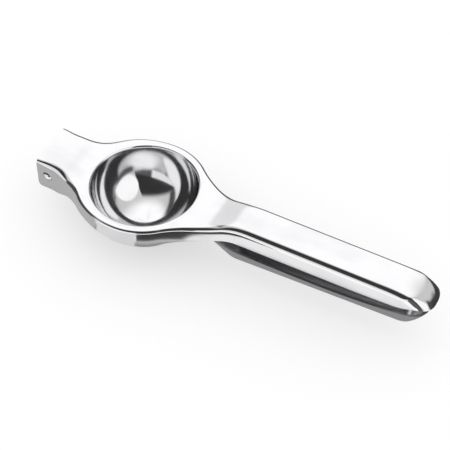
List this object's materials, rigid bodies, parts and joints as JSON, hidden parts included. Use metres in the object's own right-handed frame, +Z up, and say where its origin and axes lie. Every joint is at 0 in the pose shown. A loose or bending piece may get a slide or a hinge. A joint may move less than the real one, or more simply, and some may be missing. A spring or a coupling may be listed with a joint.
{
  "type": "hinged lemon squeezer",
  "caption": "Hand-held hinged citrus squeezer of polished stamped steel: a cup on the upper lever presses half a lemon into a perforated bowl on the lower lever.",
  "frame": {"origin": "centre of the flat under the strainer bowl", "axes": "+X along the handles from the hinge to the nose, +Z up through the bowl and the press cup, +Y to the left of the handles; closed"},
  "size_m": [0.2027, 0.061, 0.035],
  "materials": {
    "press_arm_steel": "mirror-polished stamped stainless steel",
    "press_cup_steel": "mirror-polished drawn stainless steel",
    "strainer_arm_steel": "polished stamped stainless steel, softer on its inner faces",
    "strainer_bowl_steel": "polished drawn stainless steel with punched holes",
    "rivet_steel": "polished steel rivet"
  },
  "bodies": {
    "strainer": {"strainer_arm": "strainer_arm_steel", "strainer_bowl": "strainer_bowl_steel"},
    "press": {"press_arm": "press_arm_steel", "press_cup": "press_cup_steel", "hinge_pin": "rivet_steel"}
  },
  "joints": [
    {"name": "hinge", "type": "hinge", "parent": "strainer", "child": "press", "pos_m": [-0.047, 0, 0.023], "axis": [0, -1, 0], "range_deg": [0, 115]}
  ]
}
